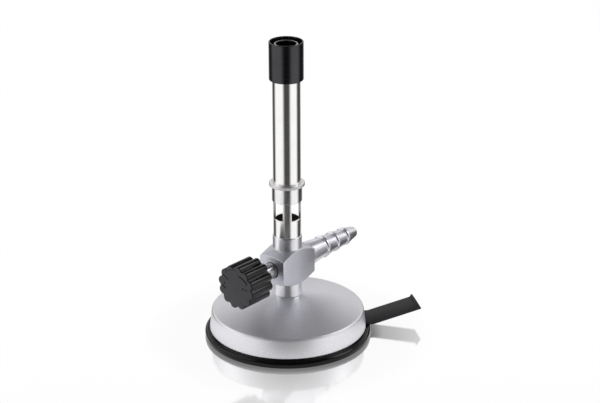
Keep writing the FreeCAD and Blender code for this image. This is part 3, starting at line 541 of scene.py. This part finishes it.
for width, path in MARKS:
    points = [Vector((-r * math.cos(math.radians(a)), r * math.sin(math.radians(a)))) for r, a in path]
    lines = [[], []]
    for index, point in enumerate(points):
        ahead = (points[min(index + 1, len(points) - 1)] - points[max(index - 1, 0)]).normalized()
        across = Vector((-ahead.y, ahead.x)) * width / 2
        for line, side in zip(lines, (point + across, point - across)):
            line.append([work.verts.new(Vector((station, side.x, side.y + VALVE_AXIS)) * MM)
                         for station in (KNOB_FACE - 0.3, KNOB_FACE + MARK_DEPTH)])
    left, right = lines
    for index in range(len(points) - 1):
        (a, b), (c, d) = left[index], left[index + 1]
        (e, f), (g, h) = right[index], right[index + 1]
        for corners in ((a, c, d, b), (e, f, h, g), (a, e, g, c), (b, d, h, f)):
            work.faces.new(corners)
    for (a, b), (e, f) in ((left[0], right[0]), (left[-1], right[-1])):
        work.faces.new((a, b, f, e))
bmesh.ops.recalc_face_normals(work, faces=work.faces)
carve(knob, bare_piece("marks", work))
knob_satin = knob_plastic("knob_satin", (0.030, 0.029, 0.038), (0.041, 0.039, 0.051), 0.42, 0.5)
knob.data.materials.append(knob_satin)
for face in knob.data.polygons:
    if face.normal.x < -0.9 and face.center.x < (KNOB_FACE + 0.1) * MM:
        face.material_index = 1
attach(knob, "valve")
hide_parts("valve_knob")

# The burner tube: a thin drawn tube, polished and nickel plated, with four air windows cut by two
# crossing slots just above the jet.
TUBE_RADIUS = 6.5
TUBE_BORE = 5.5
TUBE_TOP = 138.1
WINDOW_BEARING = math.radians(-4.1)
WINDOW_HALF = 2.9
WINDOW_BOTTOM = 59.5
WINDOW_TOP = 68.5
SLOT_REACH = 9
tube_finish = turned_plate("polished_nickel", (0.94, 0.93, 0.92), 0.18, grooves=0.92)
tube = lathe("polished_tube", [
    (TUBE_BORE, TUBE_FOOT, 0), (TUBE_RADIUS, TUBE_FOOT, 0.25), (TUBE_RADIUS, TUBE_TOP, 0.1),
    (TUBE_BORE, TUBE_TOP, 0)], tube_finish, sides=128)
for across, along in ((SLOT_REACH, WINDOW_HALF), (WINDOW_HALF, SLOT_REACH)):
    slot = cutter("window", (-across, -along, WINDOW_BOTTOM), (across, along, WINDOW_TOP), WINDOW_BEARING)
    carve(tube, slot)
# Painted shade: the faces inside the bore, away from the window band, are coloured dark brown-black for the
# shade inside the tube.
bore_painted_shade = black_coating("bore_painted_shade", (0.035, 0.026, 0.023), (0.075, 0.057, 0.05), 0.5, 0.2)
tube.data.materials.append(bore_painted_shade)
for face in tube.data.polygons:
    inward = face.normal.x * face.center.x + face.normal.y * face.center.y < -0.5 * TUBE_BORE * MM
    if inward and not WINDOW_BOTTOM * MM < face.center.z < WINDOW_TOP * MM:
        face.material_index = 1
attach(tube, "burner")
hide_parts("burner_tube")

# The air sleeve: a thin turned collar with a finely knurled flange, which slides down over the
# windows and is held by a spring ring inside the flange.
SLEEVE_BOTTOM = 68.7
SLEEVE_TOP = 77.75
SLEEVE_BORE = 6.6
COLLAR_RADIUS = 7.1
FLANGE_RADIUS = 8.35
FLANGE_BOTTOM = SLEEVE_TOP - 1.6
KNURLS = 90
KNURL_DEPTH = 0.09


def knurled(angle, radius):
    """Fine straight knurling on the edge of the flange."""
    if radius < 8.2:
        return radius
    return radius - KNURL_DEPTH * (0.5 + 0.5 * math.cos(angle * KNURLS))


sleeve_nickel = turned_plate("sleeve_nickel", (0.87, 0.86, 0.86), 0.2, grooves=0.92)
sleeve = lathe("sliding_collar", [
    (SLEEVE_BORE, SLEEVE_BOTTOM, 0), (COLLAR_RADIUS, SLEEVE_BOTTOM, 0.3),
    (COLLAR_RADIUS, FLANGE_BOTTOM, 0.3), (FLANGE_RADIUS, FLANGE_BOTTOM, 0.4),
    (FLANGE_RADIUS, SLEEVE_TOP, 0.4), (SLEEVE_BORE, SLEEVE_TOP, 0.1)],
    sleeve_nickel, sides=KNURLS * 6, ribs=knurled)
sleeve.data.materials.append(turned_plate("satin_flange", (0.78, 0.77, 0.77), 0.34, grooves=0.3))
for face in sleeve.data.polygons:
    if Vector(face.center.xy).length > 7.2 * MM or face.center.z > (SLEEVE_TOP - 0.1) * MM:
        face.material_index = 1
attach(sleeve, "sleeve")
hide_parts("air_sleeve")

# The burner head: a turned cap with a satin black coating, pushed over the top of the tube.
# Its thin lip stands round the pilot gap.
HEAD_RADIUS = 8.0
HEAD_BOTTOM = 127.9
HEAD_TOP = 146.1
HEAD_BORE = 6.52
LIP_BORE = 7.35
head_black = black_coating("head_black", (0.062, 0.061, 0.065), (0.072, 0.071, 0.076), 0.24, 0.5, 1.0)
head = lathe("black_head", [
    (HEAD_BORE, HEAD_BOTTOM, 0.1), (HEAD_RADIUS, HEAD_BOTTOM, 0.5), (HEAD_RADIUS, HEAD_TOP, 0.45),
    (LIP_BORE, HEAD_TOP, 0.2), (LIP_BORE, TUBE_TOP, 0), (HEAD_BORE, TUBE_TOP, 0)], head_black, sides=128)
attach(head, "burner")
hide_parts("burner_head")

# The flame insert: a thin plated tube inside the head, with small ports for the pilot flames.
# Its solid is kept, painted near black below as painted shade inside the head, and bright nickel at its
# rim.
FLAME_RIM = HEAD_TOP - 1.1


def nickel_painted_shade_below_rim():
    material, tree, shader = new_finish("nickel_painted_shade_below_rim", (0.5, 0.47, 0.45), 0.35, 1.0)
    place = tree.nodes.new("ShaderNodeTexCoord")
    parts = tree.nodes.new("ShaderNodeSeparateXYZ")
    tree.links.new(place.outputs["Object"], parts.inputs["Vector"])
    fine = grain(tree, 900)
    wander = tree.nodes.new("ShaderNodeMath")
    wander.operation = "MULTIPLY_ADD"
    wander.inputs[1].default_value = 0.2 * MM
    tree.links.new(fine, wander.inputs[0])
    tree.links.new(parts.outputs["Z"], wander.inputs[2])
    rim = between(tree, wander.outputs[0], 0, 1, (FLAME_RIM - 0.35) * MM, (FLAME_RIM - 0.02) * MM)
    # Painted shade: the colour goes near black below the rim, inside the head, and stays nickel at the rim.
    tinted(tree, shader, rim, (0.01, 0.009, 0.008), (0.5, 0.47, 0.45), 0.1, 0.9)
    roughened(tree, shader, fine, 0.3, 0.45)
    return material


dress(("flame_insert",), nickel_painted_shade_below_rim())

# The bench and the studio: a glossy white bench in a dim room with a soft box at each side and a pale
# wall at the back. The camera sees a white ground. Gloss on the burner shows the boxes; what it shows by
# way of the bench is a painted reflection of them, which the bench gives off as emission to glossy rays.
NOZZLE_BEARING = math.radians(49.1)
PHOTO_RIGHT = Vector((math.cos(NOZZLE_BEARING), -math.sin(NOZZLE_BEARING), 0))
PHOTO_AWAY = Vector((math.sin(NOZZLE_BEARING), math.cos(NOZZLE_BEARING), 0))
ROOM = 0.06
BOX_EDGE = 24
SOFT_BOXES = ((-180, 20, 0.5), (-66, 28, 1.0), (60, 20, 1.0), (180, 20, 0.5))
WALL_EDGE = 55
DIM_FRONT = 0.16
WHITE_WALL = ((-180, 110, 1.0), (180, 110, 1.0))
BOXES_END = 0.12
WALL_START = 0.26
WALL_END = 0.47
CEILING_START = 0.65
CEILING = (0.07, 0.07, 0.075, 1)
BENCH_TONE = (0.95, 0.95, 0.95, 1)


def round_about(tree, vector, lights, room, edge):
    """Soft lights round the burner in a dim room: each has a bearing, a half width and a level.

    Bearings are in degrees from the front, to the right; each light fades into the room over its edge."""
    nodes = tree.nodes
    dots = []
    for direction in (PHOTO_RIGHT, PHOTO_AWAY):
        dot = nodes.new("ShaderNodeVectorMath")
        dot.operation = "DOT_PRODUCT"
        dot.inputs[1].default_value = direction
        tree.links.new(vector, dot.inputs[0])
        dots.append(dot.outputs["Value"])
    front = nodes.new("ShaderNodeMath")
    front.operation = "MULTIPLY"
    front.inputs[1].default_value = -1
    tree.links.new(dots[1], front.inputs[0])
    bearing = nodes.new("ShaderNodeMath")
    bearing.operation = "ARCTAN2"
    tree.links.new(dots[0], bearing.inputs[0])
    tree.links.new(front.outputs[0], bearing.inputs[1])
    share = between(tree, bearing.outputs[0], 0, 1, -math.pi, math.pi)
    levels = []
    for middle, half, level in lights:
        levels += [(middle - half - edge, room), (middle - half, level), (middle + half, level),
                   (middle + half + edge, room)]
    levels = [(degrees / 360 + 0.5, level) for degrees, level in levels if abs(degrees) <= 180]
    ramp = nodes.new("ShaderNodeValToRGB")
    ramp.color_ramp.interpolation = "EASE"
    stops = ramp.color_ramp.elements
    stops[0].position = levels[0][0]
    stops[1].position = levels[-1][0]
    for position, _ in levels[1:-1]:
        stops.new(position)
    for stop, (position, level) in zip(stops, levels):
        stop.color = (level, level, level, 1)
    tree.links.new(share, ramp.inputs["Fac"])
    return ramp.outputs["Color"]


def bench_white():
    material = bpy.data.materials.new("bench_white")
    material.use_nodes = True
    tree = material.node_tree
    nodes, links = tree.nodes, tree.links
    nodes.clear()
    out = nodes.new("ShaderNodeOutputMaterial")
    white = nodes.new("ShaderNodeBsdfDiffuse")
    white.inputs["Color"].default_value = BENCH_TONE
    bright = nodes.new("ShaderNodeEmission")
    sheen = nodes.new("ShaderNodeBsdfGlossy")
    sheen.inputs["Color"].default_value = (1, 1, 1, 1)
    sheen.inputs["Roughness"].default_value = 0.09
    place = nodes.new("ShaderNodeNewGeometry")
    far = nodes.new("ShaderNodeVectorMath")
    far.operation = "LENGTH"
    links.new(place.outputs["Position"], far.inputs[0])
    glow = nodes.new("ShaderNodeMixShader")
    links.new(between(tree, far.outputs["Value"], 0.85, 1.0, 0.042, 0.07), glow.inputs["Fac"])
    links.new(white.outputs[0], glow.inputs[1])
    links.new(bright.outputs[0], glow.inputs[2])
    seen = nodes.new("ShaderNodeMixShader")
    share = nodes.new("ShaderNodeMath")
    share.operation = "MAXIMUM"
    links.new(between(tree, far.outputs["Value"], 0.8, 0.3, 0.041, 0.05), share.inputs[0])
    links.new(between(tree, far.outputs["Value"], 0.55, 0.13, 0.045, 0.085), share.inputs[1])
    links.new(share.outputs[0], seen.inputs["Fac"])
    links.new(glow.outputs[0], seen.inputs[1])
    links.new(sheen.outputs[0], seen.inputs[2])
    # Painted reflection: to glossy rays the bench glows white near the burner and, farther out, with the
    # soft boxes' pattern as emission.
    painted_box_reflection = nodes.new("ShaderNodeEmission")
    nearby = nodes.new("ShaderNodeMix")
    nearby.data_type = "RGBA"
    nearby.inputs["A"].default_value = BENCH_TONE
    links.new(between(tree, far.outputs["Value"], 0, 1, 0.05, 0.085), nearby.inputs["Factor"])
    boxes = round_about(tree, place.outputs["Position"], SOFT_BOXES, ROOM, BOX_EDGE)
    links.new(boxes, nearby.inputs["B"])
    links.new(nearby.outputs["Result"], painted_box_reflection.inputs["Color"])
    path = nodes.new("ShaderNodeLightPath")
    plain = nodes.new("ShaderNodeMixShader")
    links.new(path.outputs["Is Camera Ray"], plain.inputs["Fac"])
    links.new(white.outputs[0], plain.inputs[1])
    links.new(seen.outputs[0], plain.inputs[2])
    # Glossy rays see the painted reflection of the soft boxes instead of the bench itself.
    pick = nodes.new("ShaderNodeMixShader")
    links.new(path.outputs["Is Glossy Ray"], pick.inputs["Fac"])
    links.new(plain.outputs[0], pick.inputs[1])
    links.new(painted_box_reflection.outputs[0], pick.inputs[2])
    links.new(pick.outputs[0], out.inputs["Surface"])
    return material


work = bmesh.new()
bmesh.ops.create_grid(work, x_segments=1, y_segments=1, size=6.0)
bench = mesh_piece("bench", work, bench_white())
bench.location.z = -0.00002

world = bpy.data.worlds.new("studio")
bpy.context.scene.world = world
world.use_nodes = True
tree = world.node_tree
tree.nodes.clear()
out = tree.nodes.new("ShaderNodeOutputWorld")
ground = tree.nodes.new("ShaderNodeBackground")
ground.inputs["Color"].default_value = (1, 1, 1, 1)
room = tree.nodes.new("ShaderNodeBackground")
way = tree.nodes.new("ShaderNodeTexCoord")
parts = tree.nodes.new("ShaderNodeSeparateXYZ")
tree.links.new(way.outputs["Generated"], parts.inputs["Vector"])
low = tree.nodes.new("ShaderNodeMix")
low.data_type = "RGBA"
tree.links.new(between(tree, parts.outputs["Z"], 0, 1, BOXES_END, WALL_START), low.inputs["Factor"])
boxes = round_about(tree, way.outputs["Generated"], SOFT_BOXES, ROOM, BOX_EDGE)
tree.links.new(boxes, low.inputs["A"])
wall = round_about(tree, way.outputs["Generated"], WHITE_WALL, DIM_FRONT, WALL_EDGE)
tree.links.new(wall, low.inputs["B"])
high = tree.nodes.new("ShaderNodeMix")
high.data_type = "RGBA"
high.inputs["B"].default_value = CEILING
tree.links.new(between(tree, parts.outputs["Z"], 0, 1, WALL_END, CEILING_START), high.inputs["Factor"])
tree.links.new(low.outputs["Result"], high.inputs["A"])
tree.links.new(high.outputs["Result"], room.inputs["Color"])
path = tree.nodes.new("ShaderNodeLightPath")
seen = tree.nodes.new("ShaderNodeMath")
seen.operation = "MAXIMUM"
tree.links.new(path.outputs["Is Camera Ray"], seen.inputs[0])
tree.links.new(path.outputs["Is Transmission Ray"], seen.inputs[1])
pick = tree.nodes.new("ShaderNodeMixShader")
tree.links.new(seen.outputs[0], pick.inputs["Fac"])
tree.links.new(room.outputs[0], pick.inputs[1])
tree.links.new(ground.outputs[0], pick.inputs[2])
tree.links.new(pick.outputs[0], out.inputs["Surface"])

for name, side, away, height, size, watts in (
        ("right_soft_box", 0.65, 0.1, 0.7, 0.35, 1.2), ("left_soft_box", -0.65, 0.1, 0.7, 0.6, 1.4)):
    lamp = bpy.data.lights.new(name, "AREA")
    lamp.size = size
    lamp.energy = watts
    light = bpy.data.objects.new(name, lamp)
    light.location = PHOTO_RIGHT * side + PHOTO_AWAY * away + Vector((0, 0, height))
    aim = Vector((0, 0, 0.05)) - light.location
    light.rotation_euler = aim.to_track_quat("-Z", "Y").to_euler()
    bpy.context.scene.collection.objects.link(light)

# The camera: at the photograph's place, found from the ellipses of the rims.
# It stands in front of the burner and a little above it, and looks down.
CAMERA_BACK = 0.8425
CAMERA_HEIGHT = 0.4116
PITCH = math.radians(22.21)
YAW = math.radians(0.411)
ROLL = math.radians(-0.218)
ahead = PHOTO_RIGHT * math.sin(YAW) + PHOTO_AWAY * math.cos(YAW)
look = ahead * math.cos(PITCH) - Vector((0, 0, math.sin(PITCH)))
level = look.cross(Vector((0, 0, 1))).normalized()
top = level.cross(look)
right = level * math.cos(ROLL) + top * math.sin(ROLL)
upward = top * math.cos(ROLL) - level * math.sin(ROLL)
lens = bpy.data.cameras.new("camera")
lens.sensor_width = 36
lens.lens = 116.65
camera = bpy.data.objects.new("camera", lens)
spot = PHOTO_AWAY * -CAMERA_BACK + Vector((0, 0, CAMERA_HEIGHT))
camera.matrix_world = Matrix((
    (right.x, upward.x, -look.x, spot.x), (right.y, upward.y, -look.y, spot.y),
    (right.z, upward.z, -look.z, spot.z), (0, 0, 0, 1)))
bpy.context.scene.collection.objects.link(camera)
bpy.context.scene.camera = camera
bpy.context.scene.view_settings.view_transform = "Standard"
